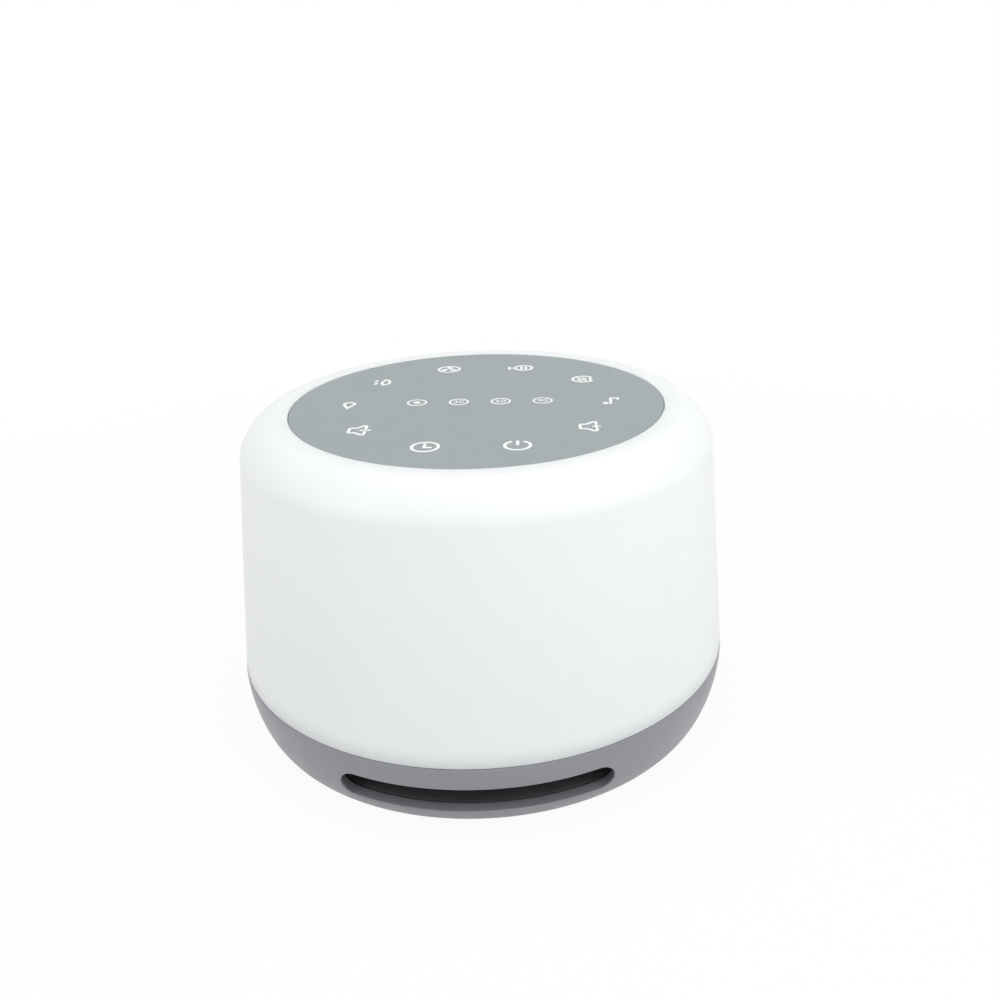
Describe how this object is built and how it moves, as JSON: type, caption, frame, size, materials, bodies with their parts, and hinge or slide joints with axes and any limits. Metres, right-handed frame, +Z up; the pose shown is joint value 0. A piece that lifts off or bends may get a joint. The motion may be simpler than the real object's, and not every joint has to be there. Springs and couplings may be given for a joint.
{
  "type": "white noise sound machine",
  "caption": "Round table-top sound machine: white night-light drum with a touch panel on top, on a grey base with a curved sound slot and a rear power inlet.",
  "frame": {"origin": "middle of the footprint, on the surface that the rubber feet stand on", "axes": "+Z up, front with the sound slot towards -Y, power inlet towards +Y, +X to the right seen from the front"},
  "size_m": [0.1106, 0.1106, 0.0708],
  "materials": {
    "base_grey": "moulded, fine spark texture, satin-matt grey",
    "foot_rubber": "soft matt rubber",
    "screw_steel": "zinc-plated steel",
    "duct_black": "matt black moulding",
    "deck_black": "matt black moulding",
    "board_green": "green solder mask",
    "board_white": "white solder mask",
    "chip_black": "moulded epoxy",
    "capacitor_can": "drawn aluminium can",
    "connector_white": "natural nylon",
    "inlet_steel": "stamped steel shell",
    "gasket_foam": "closed-cell foam",
    "surround_rubber": "butyl rubber roll",
    "frame_steel": "pressed steel, grey coating",
    "cone_paper": "pressed black paper",
    "coil_copper": "lacquered copper winding",
    "spider_cloth": "resin-dipped cloth",
    "plate_steel": "zinc-plated steel",
    "magnet_black": "sintered ferrite",
    "terminal_board": "phenolic board",
    "chamber_white": "white reflective moulding",
    "lamp_lens": "phosphor-filled silicone",
    "drum_opal": "opal white, satin",
    "panel_grey": "matt silk-coated grey with white printed signs",
    "tape_white": "double-sided adhesive film",
    "lead_pale": "flat ribbon sheath",
    "lead_red": "twin lead sheath"
  },
  "bodies": {
    "root": {"base_housing": "base_grey", "rubber_feet": "foot_rubber", "base_screws": "screw_steel", "sound_duct": "duct_black", "speaker_deck": "deck_black", "main_board": "board_green", "board_screws": "screw_steel", "board_chips": "chip_black", "board_capacitors": "capacitor_can", "board_connectors": "connector_white", "power_inlet": "inlet_steel", "inlet_tongue": "chip_black", "speaker_gasket": "gasket_foam", "speaker_surround": "surround_rubber", "speaker_frame": "frame_steel", "speaker_spider": "spider_cloth", "speaker_front_plate": "plate_steel", "speaker_magnet": "magnet_black", "speaker_yoke": "plate_steel", "speaker_terminal": "terminal_board", "speaker_screws": "screw_steel", "speaker_chamber": "chamber_white", "chamber_screws": "screw_steel", "lamp_board": "board_white", "lamps": "lamp_lens", "lamp_screws": "screw_steel", "reflector": "chamber_white", "diffuser_drum": "drum_opal", "touch_panel": "panel_grey", "panel_tape": "tape_white", "light_mask": "duct_black", "touch_board": "board_green", "sign_lamps": "lamp_lens", "touch_chips": "chip_black", "panel_carrier": "chamber_white", "carrier_screws": "screw_steel", "panel_ribbon": "lead_pale", "speaker_lead": "lead_red", "lamp_lead": "lead_pale"},
    "cone": {"speaker_cone": "cone_paper", "dust_cap": "cone_paper", "voice_coil": "coil_copper"}
  },
  "joints": [
    {"name": "cone_travel", "type": "slide", "parent": "root", "child": "cone", "axis": [0, 0, 1], "range_m": [-0.001, 0.001], "stiffness_N_per_m": 1500, "deforming": ["speaker_surround", "speaker_spider"]}
  ]
}
